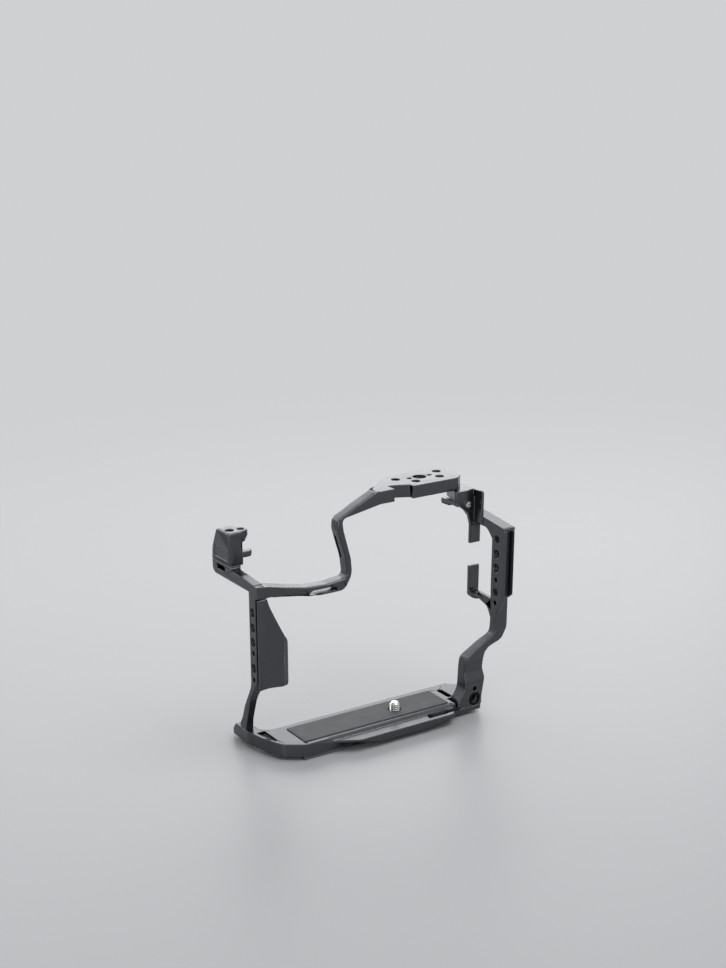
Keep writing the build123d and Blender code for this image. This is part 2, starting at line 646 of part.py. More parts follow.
def make_post():
    post = prism_yz(
        [(arm_front, post_bottom - 6), (post_front, post_bottom + 4), (post_front, post_top),
         (post_back, post_top), (post_back, post_bottom - 6)],
        [3, 5, 3, 0, 2], wall_inner, wall_outer)
    strip = prism_yz(
        [(post_front, rail_top + clearance), (post_front, post_top), (web_back - 8, post_top + 3.8),
         (web_back - 8, post_top - 3),
         (rail_back + 1.5, post_top - 3.3), (post_back + 0.3, post_top - 9), (post_back - 1, post_top - 12),
         (post_back - 1, rail_top + clearance)],
        [0, 3, 2, 2, 6, 3, 0, 0], wall_inner, rail_outer)
    inside = box(wall_outer, big, -big, rail_back + clearance, 0, rail_top + clearance)
    lower = box(wall_outer, big, -big, big, 0, post_top - 8)
    return post + (strip - inside - lower)


def make_window():
    """Two tabs that stop the camera's back edge, with the arm that carries the lower one."""
    arm = prism_yz(
        [(tab_back, lower_tab_bottom), (tab_front - 6, lower_tab_bottom - 1.2),
         (post_back + 3.6, lower_tab_bottom - 3.6),
         (post_back + 0.2, lower_tab_bottom - 10), (post_back - 1, lower_tab_bottom - 12),
         (post_back - 1, lower_tab_bottom + 2.4),
         (tab_front, lower_tab_bottom + 3.2), (tab_back, lower_tab_bottom + 3.2)],
        [2, 6, 6, 2, 0, 0, 2, 0], wall_inner, wall_outer)
    ledge = prism_yz(
        [(tab_back, lower_tab_bottom), (tab_front - 6, lower_tab_bottom - 1.0),
         (tab_front - 9.4, lower_tab_bottom + 0.4),
         (tab_front, lower_tab_bottom + 3.2), (tab_back, lower_tab_bottom + 3.2)],
        [2, 6, 2, 2, 0], tab_left, wall_outer)
    arm += ledge - prism_xy(
        [(tab_left - 1, tab_front - 2), (tab_left, tab_front - 3.5), (wall_inner, tab_front - 9.5),
         (tab_left - 1, tab_front - 9.5)],
        [0, 4, 0, 0], 0, big)
    arm -= rod_z(wall_inner, tab_front - 4.5, 1.0, lower_tab_bottom - 5, lower_tab_bottom + 10)
    lower = box(tab_left, tab_right, tab_front, tab_back, lower_tab_bottom + 1, lower_tab_top)
    upper = box(tab_left, tab_right, tab_front, tab_back, upper_tab_bottom, upper_tab_top)
    return arm + lower + upper


def make_crown():
    """Web and flange that tie the side frame to the underside of the top plate."""
    web = prism_yz(
        [(web_front, post_top - 2), (web_front, web_top), (web_back, web_top - 1.3),
         (web_back, post_top + 2), (tab_back + 2, post_top - 2)],
        [0, 2, 2, 3, 2], web_left, web_right)
    drop = prism_xz(
        [(flange_left, top_bottom), (flange_left + 1, flange_bottom),
         (flange_left + 4, flange_bottom - 3.4), (tab_left - 2.2, post_top + 4),
         (tab_left, upper_tab_top - 3), (tab_right, upper_tab_top - 3), (tab_right - 0.2, post_top),
         (web_right, post_top + 6),
         (web_left, flange_bottom + 2.5), (web_left - 3.2, top_bottom)],
        [0, 1.5, 2, 5, 0, 0, 3, 6, 6, 1], tab_front, tab_back)
    flange = prism_xy(
        [(flange_left, tab_back - 1), (web_right - 0.5, tab_back - 1), (web_right - 0.5, web_back),
         (web_left - 1, column_back + 5),
         (top_right - 4.4, column_back + 6)],
        [0.5, 0, 1, 1, 1.5], flange_bottom, top_bottom)
    return web + drop + flange


def make_side_frame():
    """Port-side frame: foot, stepped arm, post, window tabs and crown, cut from one billet."""
    solid = make_lower_arm() + make_post() + make_window() + make_crown()
    for z in post_thread_z:
        solid -= rod_x(post_hole_y, z, threaded_radius, wall_inner - 1, wall_outer)
    for z in post_pin_z:
        solid -= rod_x(post_hole_y, z, locating_radius, wall_inner - 1, wall_outer)
    socket_end = plate_front + socket_depth
    solid -= rod_y(socket_x, socket_z, socket_radius + socket_wall, plate_front - 1, socket_end)
    solid -= rod_y(socket_x, pin_hole_z, locating_radius, plate_front - 1, plate_front + 4)
    solid -= rod_y(right_screw_x, right_screw_z, right_screw_radius + screw_fit, 0, tab_back + 1)
    short = 3.0                 # the heads' way out ends inside the side frame
    holes = placed(toe_bolts(), bolt_hole(toe_bolt_length, short))
    holes += placed(flange_bolts(), bolt_hole(flange_bolt_length, short))
    holes += placed(rail_bolts(), bolt_hole(rail_bolt_length, short))
    for hole in holes:
        solid -= hole
    return solid


def make_side_rail():
    """V-edged accessory rail on the outside of the post."""
    middle = wall_outer + rail_thick / 2
    outline = [
        (wall_outer, post_front), (wall_outer + rail_lip, post_front), (middle, post_front + rail_groove),
        (rail_outer - rail_lip, post_front), (rail_outer, post_front), (rail_outer, rail_back),
        (rail_outer - rail_lip, rail_back),
        (middle, rail_back - rail_groove), (wall_outer + rail_lip, rail_back), (wall_outer, rail_back),
    ]
    rail = prism_xy(outline, [0.2, 0.2, 0.6, 0.2, 0.5, 0.5, 0.2, 0.6, 0.2, 0.2], rail_bottom, rail_top)
    rail -= prism_yz(
        [(post_front - 1, rail_bottom - 1), (arm_front, rail_bottom - 1), (post_front - 1, rail_bottom + 4)],
        [0, 0, 0], wall_outer - 1, rail_outer + 1)
    for hole in placed(rail_bolts(), bolt_hole(rail_bolt_length)):
        rail -= hole
    return rail


def make_socket_insert():
    """Steel threaded bush in the foot's front face."""
    bush = rod_y(socket_x, socket_z, socket_radius + socket_wall, plate_front, plate_front + socket_depth)
    return bush - rod_y(socket_x, socket_z, socket_radius, plate_front - 1, plate_front + socket_depth - 1)


def make_tab_pads():
    edge = 0.5
    return Compound(children=[
        box(tab_left + edge, tab_right - edge, tab_front - tab_pad_thick, tab_front, z0, z1)
        for z0, z1 in ((lower_tab_bottom + 5, lower_tab_top - edge), (upper_tab_bottom + edge, 106.0))])


# ---------------------------------------------------------------- right hook
def make_right_hook():
    """Bar that reaches back past the strap lug, with a stem that the screw pulls."""
    top = right_hook_z + hook_height
    gap = clearance
    stem = box(right_hook_x + 1.8, right_screw_x + 2.6, tab_back + gap, tab_back + gap + 3.2,
               right_hook_z - 0.5, flange_bottom - gap)
    bar = prism_xy(
        [(right_hook_x + 1.8, tab_back + gap), (right_hook_x + 5, tab_back + gap),
         (right_hook_x + 2.8, right_hook_back),
         (right_hook_x - 0.4, right_hook_back)],
        [0.3, 0, 1, 1], right_hook_z, top - 0.4)
    hook = stem + bar
    return hook - rod_y(right_screw_x, right_screw_z, right_screw_radius + screw_fit, 0, big)


def make_right_hook_pad():
    return prism_xy(
        [(right_hook_x + 0.6, 18.0), (right_hook_x + 3.4, 18.0),
         (right_hook_x + 2.4, right_hook_back - 0.6), (right_hook_x, right_hook_back - 0.6)],
        [0.3, 0.3, 0.5, 0.5], right_hook_z - hook_pad_thick, right_hook_z)


def make_right_hook_screw():
    seat = tab_front - screw_fit
    return Pos(right_screw_x, seat, right_screw_z) * Rot(90, 0, 0) * hook_screw(
        tab_thick + hook_height + 1.6, right_screw_radius, right_screw_head)


# ---------------------------------------------------------------- one file for each sub-part
sub_parts = {
    "base_plate": make_base_plate(),
    "base_pad": make_base_pad(),
    "end_pad": make_end_pad(),
    "camera_screw": make_camera_screw(),
    "screw_clip": make_screw_clip(),
    "driver": make_driver(),
    "driver_magnets": make_driver_magnets(),
    "main_frame": make_main_frame(),
    "column_screws": Compound(children=placed(column_bolts(), column_bolt)),
    "grip_shell": make_grip_shell(),
    "grip_shell_screws": Compound(children=placed(shell_bolts(), bolt(shell_bolt_length))),
    "lug_block": make_lug_block(),
    "lug_block_screws": Compound(children=placed(block_bolts(), bolt(block_bolt_length))),
    "left_hook": make_left_hook(),
    "left_hook_pad": make_left_hook_pad(),
    "left_hook_screw": make_left_hook_screw(),
    "side_frame": make_side_frame(),
    "foot_screws": Compound(children=placed(toe_bolts(), bolt(toe_bolt_length))),
    "crown_screws": Compound(children=placed(flange_bolts(), bolt(flange_bolt_length))),
    "side_rail": make_side_rail(),
    "side_rail_screws": Compound(children=placed(rail_bolts(), bolt(rail_bolt_length))),
    "socket_insert": make_socket_insert(),
    "tab_pads": make_tab_pads(),
    "right_hook": make_right_hook(),
    "right_hook_pad": make_right_hook_pad(),
    "right_hook_screw": make_right_hook_screw(),
}

os.makedirs("parts", exist_ok=True)
for name, shape in sub_parts.items():
    export_step(shape, f"parts/{name}.step")
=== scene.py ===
import json
import math

import bmesh
import bpy
from mathutils import Matrix, Vector
from mathutils.bvhtree import BVHTree
from mathutils.kdtree import KDTree


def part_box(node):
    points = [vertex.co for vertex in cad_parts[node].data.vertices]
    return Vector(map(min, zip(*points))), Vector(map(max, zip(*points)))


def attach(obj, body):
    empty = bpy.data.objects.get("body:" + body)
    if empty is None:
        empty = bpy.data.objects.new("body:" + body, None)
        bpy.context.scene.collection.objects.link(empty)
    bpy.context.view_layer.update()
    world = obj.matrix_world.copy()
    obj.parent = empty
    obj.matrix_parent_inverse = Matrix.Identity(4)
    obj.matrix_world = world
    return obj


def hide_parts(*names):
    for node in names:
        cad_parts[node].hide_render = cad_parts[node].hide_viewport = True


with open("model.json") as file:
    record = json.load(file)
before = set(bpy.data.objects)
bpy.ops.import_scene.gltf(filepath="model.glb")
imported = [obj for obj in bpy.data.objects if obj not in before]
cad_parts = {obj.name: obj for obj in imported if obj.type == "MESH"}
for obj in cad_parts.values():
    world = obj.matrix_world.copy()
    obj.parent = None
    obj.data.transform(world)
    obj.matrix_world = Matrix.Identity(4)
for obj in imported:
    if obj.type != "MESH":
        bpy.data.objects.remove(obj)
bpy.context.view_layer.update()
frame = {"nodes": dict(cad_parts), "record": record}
nodes = frame["nodes"]
scene = bpy.context.scene
mm = 0.001


# ------------------------------------------------------------------ base plate
# A flat plate of 6061 aluminium, milled all over, then bead blasted and anodised dark grey.
# A dovetail runs along its underside, a lip stands on the lens side and a heel carries the column.
def linear(code):
    """A six-digit sRGB colour as linear red, green, blue and alpha."""
    parts = [int(code[i:i + 2], 16) / 255 for i in (0, 2, 4)]
    return [c / 12.92 if c <= 0.04045 else ((c + 0.055) / 1.055) ** 2.4 for c in parts] + [1.0]


def add_node(tree, kind, settings=None, inputs=None):
    """Adds a node, sets its properties and fills its inputs with values or with other nodes' outputs."""
    node = tree.nodes.new(kind)
    for key, value in (settings or {}).items():
        setattr(node, key, value)
    for key, value in (inputs or {}).items():
        if isinstance(value, bpy.types.NodeSocket):
            tree.links.new(value, node.inputs[key])
        else:
            node.inputs[key].default_value = value
    return node


def new_material(name):
    material = bpy.data.materials.new(name)
    material.use_nodes = True
    material.node_tree.nodes.clear()
    return material, material.node_tree


def blasted_metal(name, colour, worn_colour, roughness):
    """Bead blasting leaves dimples about 0.1 mm across, drawn here at 0.35 mm so that they show.
    The dark oxide is a little uneven, and it is thin and pale where an edge has been rubbed."""
    material, tree = new_material(name)
    place = add_node(tree, "ShaderNodeTexCoord").outputs["Object"]
    soft = add_node(tree, "ShaderNodeBevel", {"samples": 8}, {"Radius": 0.6 * mm}).outputs["Normal"]
    flat = add_node(tree, "ShaderNodeNewGeometry").outputs["Normal"]
    turn = add_node(tree, "ShaderNodeVectorMath", {"operation": "DOT_PRODUCT"}, {0: soft, 1: flat})
    edge = add_node(tree, "ShaderNodeMapRange", None,
                    {"Value": turn.outputs["Value"], "From Min": 0.995, "From Max": 0.86})
    cloud = add_node(tree, "ShaderNodeTexNoise", None,
                     {"Vector": place, "Scale": 1 / (9 * mm), "Detail": 4.0, "Roughness": 0.6})
    dimple = add_node(tree, "ShaderNodeTexNoise", None,
                      {"Vector": place, "Scale": 1 / (0.35 * mm), "Detail": 1.0})
    rubbed = add_node(tree, "ShaderNodeMath", {"operation": "MULTIPLY"},
                      {0: edge.outputs[0], 1: cloud.outputs["Fac"]})
    dye = add_node(tree, "ShaderNodeMix", {"data_type": "RGBA"},
                   {"Factor": rubbed.outputs[0], "A": linear(colour), "B": linear(worn_colour)})
    gloss = add_node(tree, "ShaderNodeMapRange", None,
                     {"Value": cloud.outputs["Fac"], "From Min": 0.3, "From Max": 0.7,
                      "To Min": roughness - 0.03, "To Max": roughness + 0.04})
    bump = add_node(tree, "ShaderNodeBump", None,
                    {"Height": dimple.outputs["Fac"], "Distance": 0.012 * mm, "Normal": soft})
    shader = add_node(tree, "ShaderNodeBsdfPrincipled", None,
                      {"Base Color": dye.outputs["Result"], "Metallic": 1.0,
                       "Roughness": gloss.outputs[0], "Normal": bump.outputs[0]})
    add_node(tree, "ShaderNodeOutputMaterial", None, {"Surface": shader.outputs[0]})
    return material


def finished(maker):
    """The mesh that an object's modifiers make. The object goes."""
    mesh = bpy.data.meshes.new_from_object(maker.evaluated_get(bpy.context.evaluated_depsgraph_get()))
    bpy.data.objects.remove(maker)
    return mesh


def maker_of(name, mesh, kind):
    """An object that holds a mesh while one modifier works on it, and that modifier."""
    maker = bpy.data.objects.new(name, mesh)
    scene.collection.objects.link(maker)
    return maker, maker.modifiers.new(name, kind)


def rounded(solid, name, width, shares):
    """The solid with a round on each edge, as wide as its share of this width in millimetres."""
    layers = solid.edges.layers.float
    weight = layers.get("bevel_weight_edge") or layers.new("bevel_weight_edge")
    for edge in solid.edges:
        edge[weight] = shares.get(edge.index, 0.0)
    blank = bpy.data.meshes.new(name)
    solid.to_mesh(blank)
    maker, bevel = maker_of(name, blank, "BEVEL")
    bevel.width = width * mm
    bevel.segments = 3
    bevel.limit_method = "WEIGHT"
    bevel.use_clamp_overlap = False
    return finished(maker)


def smooth(mesh, angle):
    """Smooth shading in which wide faces stay flat and edges sharper than this many degrees stay crisp."""
    mesh.shade_smooth()
    mesh.set_sharp_from_angle(angle=math.radians(angle))
    maker, weighted = maker_of("smooth", mesh, "WEIGHTED_NORMAL")
    weighted.keep_sharp = True
    return finished(maker)


crisp_angle = 33         # degrees; milled edges sharper than this stay crisp


def broken_edges(node, width, share=lambda middle: 1.0, whole_faces=True):
    """A copy of a milled solid whose sharp edges are broken by a round of this width, in millimetres.
    share says how much of the width an edge takes, from its middle point in millimetres.
    Where a round is wider than the faces beside it and would leave the solid, the edge stays sharp."""
    edge_angle = math.radians(28)
    inside_width = 0.3
    stray_limit = min(0.62 * width, 0.7) * mm
    stray_reach = min(1.2 * width, 1.3) * mm
    proud_limit = 0.12 * mm
    solid = bmesh.new()
    solid.from_mesh(nodes[node].data)
    bmesh.ops.remove_doubles(solid, verts=solid.verts, dist=0.001 * mm)
    surface = BVHTree.FromBMesh(solid)
    if whole_faces:
        bmesh.ops.dissolve_limit(solid, angle_limit=math.radians(0.4), verts=solid.verts, edges=solid.edges)
        bmesh.ops.connect_verts_concave(solid, faces=[face for face in solid.faces if len(face.verts) > 4])
    solid.edges.index_update()
    shares = {}
    for edge in solid.edges:
        if edge.calc_face_angle(0) > edge_angle:
            wide = share((edge.verts[0].co + edge.verts[1].co) / (2 * mm))
            shares[edge.index] = wide if edge.is_convex else min(wide, inside_width / width)
    for attempt in range(6):
        mesh = rounded(solid, node + "_round", width, shares)
        mesh.calc_loop_triangles()
        points = mesh.vertices
        strays = []
        for triangle in mesh.loop_triangles:
            corners = [points[index].co for index in triangle.vertices]
            middles = [sum(corners, Vector()) / 3] + [(corners[k - 1] + corners[k]) / 2 for k in range(3)]
            if max(surface.find_nearest(middle)[3] for middle in middles) > stray_limit:
                strays += corners
        if not strays:
            break
        tight = KDTree(len(strays))
        for index, stray in enumerate(strays):
            tight.insert(stray, index)
        tight.balance()
        solid.edges.ensure_lookup_table()
        shares = {index: value for index, value in shares.items()
                  if min(tight.find(vertex.co)[2] for vertex in solid.edges[index].verts) > stray_reach}
    solid.free()
    for vertex in mesh.vertices:
        near, outwards, _, gap = surface.find_nearest(vertex.co)
        if gap > proud_limit and (vertex.co - near).dot(outwards) > 0:
            vertex.co = near
    return smooth(mesh, crisp_angle)


def fit(mesh, name, material, body, slot, *replaced):
    """Links a mesh as a finished piece, in place, parents it to the body that it rides on and hides the CAD
    parts that it stands for.
    """
    mesh.name = name
    mesh.materials.clear()
    mesh.materials.append(material)
    piece = bpy.data.objects.new(name, mesh)
    scene.collection.objects.link(piece)
    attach(piece, body)
    if replaced:
        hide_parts(*replaced)
    return piece


# dark anodised 6061: the grey comes from a metal base under a dyed oxide, satin from the blasting
anodised = blasted_metal("anodised_6061_blasted", "5a5b5e", "b2b3b6", 0.25)


def plate_share(middle):
    """All edges are broken alike, but for those inside the narrow step between pad and lip."""
    step_front, step_back, step_top = -14.2, -11.2, -1.0
    return 0.0 if step_front < middle.y < step_back and middle.z < step_top else 1.0


fit(broken_edges("base_plate", 0.3, plate_share), "machined_base_plate", anodised, "frame", "anodised_frame",
    "base_plate")


# ------------------------------------------------------------------ pads
# Moulded silicone rubber, bonded in the plate and on the tabs: matt, with a fine sandy skin
# that the mould leaves. The end pad in its pocket has cross ribs.
def moulded_rubber(name, colour, roughness):
    """The mould's spark-eroded skin has a grain of 0.3 mm, and dust greys the high spots a little."""
    material, tree = new_material(name)
    place = add_node(tree, "ShaderNodeTexCoord").outputs["Object"]
    soft = add_node(tree, "ShaderNodeBevel", {"samples": 6}, {"Radius": 0.25 * mm}).outputs["Normal"]
    grain = add_node(tree, "ShaderNodeTexNoise", None,
                     {"Vector": place, "Scale": 1 / (0.3 * mm), "Detail": 3.0})
    cloud = add_node(tree, "ShaderNodeTexNoise", None,
                     {"Vector": place, "Scale": 1 / (14 * mm), "Detail": 4.0})
    shade = add_node(tree, "ShaderNodeMapRange", None,
                     {"Value": cloud.outputs["Fac"], "From Min": 0.3, "From Max": 0.7, "To Max": 0.16})
    tone = add_node(tree, "ShaderNodeMix", {"data_type": "RGBA"},
                    {"Factor": shade.outputs[0], "A": linear(colour), "B": linear("8c8c8c")})
    bump = add_node(tree, "ShaderNodeBump", None,
                    {"Height": grain.outputs["Fac"], "Distance": 0.03 * mm, "Normal": soft})
    shader = add_node(tree, "ShaderNodeBsdfPrincipled", None,
                      {"Base Color": tone.outputs["Result"], "Roughness": roughness, "IOR": 1.43,
                       "Normal": bump.outputs[0]})
    add_node(tree, "ShaderNodeOutputMaterial", None, {"Surface": shader.outputs[0]})
    return material


# both rubbers are matt and soft-edged; the grey one reads lighter than the metal round it
grey_rubber = moulded_rubber("moulded_grey_silicone", "545557", 0.68)
black_rubber = moulded_rubber("moulded_black_silicone", "2c2c2e", 0.6)
fit(broken_edges("base_pad", 0.25), "moulded_base_pad", grey_rubber, "frame", "rubber_pad", "base_pad")
fit(broken_edges("end_pad", 0.2), "ribbed_end_pad", black_rubber, "frame", "rubber_pad", "end_pad")
fit(broken_edges("tab_pads", 0.12), "bonded_tab_pads", grey_rubber, "frame", "rubber_pad", "tab_pads")
fit(broken_edges("left_hook_pad", 0.12), "left_hook_face", black_rubber, "left_hook", "rubber_pad",
    "left_hook_pad")
fit(broken_edges("right_hook_pad", 0.12), "right_hook_face", black_rubber, "right_hook", "rubber_pad",
    "right_hook_pad")


# ------------------------------------------------------------------ camera screw
# A 1/4 inch screw of stainless steel, turned on a lathe, with a rolled thread of 20 turns to the inch.
# Its wide head hangs in the plate's underside, with a coin slot and a hex socket.
def turned_steel(name, colour, roughness, pitch):
    """A lathe's feed leaves fine rings round the axis, 0.25 mm apart here so that they show."""
    material, tree = new_material(name)
    place = add_node(tree, "ShaderNodeTexCoord").outputs["Object"]
    soft = add_node(tree, "ShaderNodeBevel", {"samples": 6}, {"Radius": 0.15 * mm}).outputs["Normal"]
    streak = add_node(tree, "ShaderNodeMapping", None,
                      {"Vector": place, "Scale": (40.0, 40.0, 1 / (pitch * mm))})
    rings = add_node(tree, "ShaderNodeTexNoise", None,
                     {"Vector": streak.outputs[0], "Scale": 1.0, "Detail": 2.0})
    cloud = add_node(tree, "ShaderNodeTexNoise", None,
                     {"Vector": place, "Scale": 1 / (2 * mm), "Detail": 3.0})
    gloss = add_node(tree, "ShaderNodeMapRange", None,
                     {"Value": cloud.outputs["Fac"], "From Min": 0.3, "From Max": 0.7,
                      "To Min": roughness - 0.05, "To Max": roughness + 0.08})
    bump = add_node(tree, "ShaderNodeBump", None,
                    {"Height": rings.outputs["Fac"], "Distance": 0.01 * mm, "Normal": soft})
    shader = add_node(tree, "ShaderNodeBsdfPrincipled", None,
                      {"Base Color": linear(colour), "Metallic": 1.0, "Roughness": gloss.outputs[0],
                       "Normal": bump.outputs[0]})
    add_node(tree, "ShaderNodeOutputMaterial", None, {"Surface": shader.outputs[0]})
    return material


def joined(name, meshes):
    """Several meshes as one."""
    whole = bmesh.new()
    for mesh in meshes:
        whole.from_mesh(mesh)
    mesh = bpy.data.meshes.new(name)
    whole.to_mesh(mesh)
    whole.free()
    return mesh


def round_bar(heights, sides, radius_at):
    """A closed bar on the Z axis. radius_at gives its radius at a height and an angle."""
    bar = bmesh.new()
    angles = [2 * math.pi * step / sides for step in range(sides)]
    rings = []
    for height in heights:
        radii = [radius_at(height, angle) for angle in angles]
        rings.append([bar.verts.new((radius * math.cos(angle), radius * math.sin(angle), height))
                      for radius, angle in zip(radii, angles)])
    for lower, upper in zip(rings, rings[1:]):
        for step in range(sides):
            after = (step + 1) % sides
            bar.faces.new((lower[step], lower[after], upper[after], upper[step]))
    bar.faces.new(list(reversed(rings[0])))
    bar.faces.new(rings[-1])
    mesh = bpy.data.meshes.new("round_bar")
    bar.to_mesh(mesh)
    bar.free()
    return mesh


# bright stainless: smooth enough to mirror the soft boxes, drawn out into rings by the lathe
stainless = turned_steel("turned_stainless_steel", "d6d5d2", 0.2, 0.25)
thread_pitch = 25.4 / 20 * mm
thread_crest, thread_root = 3.15 * mm, 2.35 * mm
screw_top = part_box("camera_screw")[1].z
thread_foot = screw_top - 6.8 * mm
thread_steps, thread_sides = 70, 48
flank_slope, root_flat = 1.5, 0.2
plain_point, point_chamfer = 0.3 * mm, 0.4 * mm
top_run_out, foot_run_out = 0.7 * mm, 0.4 * mm
turned_angle = 35        # degrees; turned edges sharper than this stay crisp


def thread_radius(height, angle):
    """A 60 degree thread with flat crests, which fades out at both ends of the bar."""
    along = (height / thread_pitch - angle / (2 * math.pi)) % 1
    crest = min(max(flank_slope * (1 - abs(2 * along - 1)) - root_flat, 0), 1)
    fade = min((screw_top - plain_point - height) / top_run_out, (height - thread_foot) / foot_run_out, 1)
    chamfer = max(height - (screw_top - point_chamfer), 0)
    return thread_root + (thread_crest - thread_root) * crest * max(fade, 0) - chamfer


thread_heights = [thread_foot + (screw_top - thread_foot) * step / thread_steps
                  for step in range(thread_steps + 1)]
threaded_end = round_bar(thread_heights, thread_sides, thread_radius)
# the head and shank come from the solid; only what stands above the clip is threaded
shank = bmesh.new()
shank.from_mesh(nodes["camera_screw"].data)
bmesh.ops.remove_doubles(shank, verts=shank.verts, dist=0.001 * mm)
cut = bmesh.ops.bisect_plane(shank, geom=shank.verts[:] + shank.edges[:] + shank.faces[:],
                             plane_co=(0, 0, thread_foot + 0.1 * mm), plane_no=(0, 0, 1), clear_outer=True)
rim = [edge for edge in cut["geom_cut"] if isinstance(edge, bmesh.types.BMEdge)]
bmesh.ops.edgeloop_fill(shank, edges=rim)
shank_mesh = bpy.data.meshes.new("shank")
shank.to_mesh(shank_mesh)
shank.free()
fit(smooth(joined("camera_screw_steel", [threaded_end, shank_mesh]), turned_angle),
    "threaded_camera_screw", stainless, "camera_screw", "bright_steel", "camera_screw")

fit(broken_edges("screw_clip", 0.1), "retaining_clip", stainless, "screw_clip", "bright_steel",
    "screw_clip")


# ------------------------------------------------------------------ stowed driver
# A small hex key of black oxide tool steel with a fluted round handle, held in the lip by two
# nickel-plated magnets pressed in from below.
# black oxide is thin and even, a dull near-black; nickel plating is a warm, soft mirror
black_oxide = blasted_metal("black_oxide_tool_steel", "1d1d1f", "5c5c5e", 0.4)
nickel = turned_steel("nickel_plated_magnet", "b9b6ae", 0.25, 0.2)
driver_low, driver_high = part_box("driver")
handle_radius = (driver_high.z - driver_low.z) / 2
handle_length, handle_rings = 14.0 * mm, 40
flutes, flute_depth = 14, 0.28 * mm
collar_width = 2 * mm
nose_depth, nose_length = 0.5 * mm, 0.6 * mm
blade_radius, blade_seat = 1.1 * mm, 0.4 * mm


def fluted_radius(height, angle):
    """Shallow flutes between two plain collars, with rounded ends."""
    end = min(height, handle_length - height)
    collar = min(abs(height - handle_length / 2) / (handle_length / 2 - collar_width), 1)
    flute = flute_depth * max(math.cos(flutes * angle), 0) ** 2 * (1 if collar < 1 else 0)
    nose = nose_depth * max(1 - end / nose_length, 0) ** 2
    return handle_radius - flute - nose


handle_steps = [handle_length * step / handle_rings for step in range(handle_rings + 1)]
handle = round_bar(handle_steps, 6 * flutes, fluted_radius)
blade_length = driver_high.x - driver_low.x - handle_length + blade_seat
blade = round_bar([0, blade_length], 6, lambda height, angle: blade_radius)
driver_end = (driver_low.x, (driver_low.y + driver_high.y) / 2, (driver_low.z + driver_high.z) / 2)
lay_down = Matrix.Translation(driver_end) @ Matrix.Rotation(math.pi / 2, 4, "Y")
handle.transform(lay_down)
blade.transform(lay_down @ Matrix.Translation((0, 0, handle_length - blade_seat)))
fit(smooth(joined("driver_steel", [handle, blade]), turned_angle), "fluted_driver", black_oxide, "driver",
    "black_steel", "driver")
fit(broken_edges("driver_magnets", 0.15), "plated_magnets", nickel, "frame", "magnet", "driver_magnets")


# ------------------------------------------------------------------ main frame
# Column, block arm, bar over the grip, rising arm and top plate, milled from one billet of 6061.
# The arms the hand meets are rounded wide; the faces that meet other parts keep crisp edges.
def arm_share(middle):
    """Full rounds on the bar and the rising arm, narrow ones at slots, holes and seats."""
    x, y, z = middle
    lens_face, back_face = 13.0, 21.5
    on_face = min(abs(y - lens_face), abs(y - back_face)) < 0.4
    bar_slot = -58 < x < -29 and 80.4 < z < 84.4
    arm_slot = 97.5 < z < 113.5 and 17.4 < y < 20.8
    if on_face and -66 < x < -3 and z > 79 and not bar_slot and not arm_slot:
        return 1.0
    return 0.3


fit(broken_edges("main_frame", 1.1, arm_share, whole_faces=False), "milled_main_frame", anodised, "frame",
    "anodised_frame", "main_frame")


# ------------------------------------------------------------------ grip shell
# A curved plate screwed to the column from behind; a fine line is engraved beside its free edge.
shell = broken_edges("grip_shell", 0.8)
free_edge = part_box("grip_shell")[1].x
line_x, line_half, line_depth = free_edge - 1.9 * mm, 0.22 * mm, 0.25 * mm
engraved = bmesh.new()
engraved.from_mesh(shell)
for x in (line_x - line_half, line_x, line_x + line_half):
    whole = engraved.verts[:] + engraved.edges[:] + engraved.faces[:]
    bmesh.ops.bisect_plane(engraved, geom=whole, dist=0.001 * mm, plane_co=(x, 0, 0), plane_no=(1, 0, 0))
engraved.normal_update()
groove = [v for v in engraved.verts if abs(v.co.x - line_x) < 0.002 * mm and v.normal.y < -0.5]
for vertex in groove:
    vertex.co.y += line_depth
engraved.to_mesh(shell)
engraved.free()
shell.shade_smooth()
shell.set_sharp_from_angle(angle=math.radians(crisp_angle))
fit(shell, "curved_grip_shell", anodised, "frame", "anodised_frame", "grip_shell")


# ------------------------------------------------------------------ lug block and strap hooks
# A milled block on the grip side's arm holds a small clamp finger for the camera's strap lug, and
# the port side has a second finger under the top plate. A slotted screw moves each of them.
def block_share(middle):
    """The block's upper front is rounded at full width, its seats at half."""
    seat_top, seat_front = 97, 46
    return 1.0 if middle.z > seat_top and middle.y < seat_front else 0.5


fit(broken_edges("lug_block", 0.5, block_share, whole_faces=False), "milled_lug_block", anodised, "frame",
    "anodised_frame", "lug_block")
# tumbled before anodising: smaller pieces come out a shade lighter and softer
plain_grey = blasted_metal("anodised_6061_tumbled", "6a6b6e", "a8a9ab", 0.3)
fit(broken_edges("left_hook", 0.3), "left_lug_finger", plain_grey, "left_hook", "anodised_rail", "left_hook")
fit(broken_edges("right_hook", 0.3), "right_lug_finger", plain_grey, "right_hook", "anodised_rail",
    "right_hook")
fit(broken_edges("left_hook_screw", 0.12), "left_slotted_screw", black_oxide, "left_hook_screw",
    "black_steel", "left_hook_screw")
fit(broken_edges("right_hook_screw", 0.15), "right_slotted_screw", stainless, "right_hook_screw",
    "bright_steel", "right_hook_screw")


# ------------------------------------------------------------------ side frame, rail and socket
# The port-side frame is milled from one billet like the main frame, and carries a rail with V edges,
# coloured almost black, and a threaded steel bush pressed into its foot.
def post_share(middle):
    """The stepped arm between foot and post is rounded wide, everything else narrow."""
    arm_low, arm_high, arm_inner = 10, 57, 45
    return 1.0 if arm_low < middle.z < arm_high and middle.x > arm_inner else 0.4


fit(broken_edges("side_frame", 0.8, post_share), "milled_side_frame", anodised, "frame", "anodised_frame",
    "side_frame")
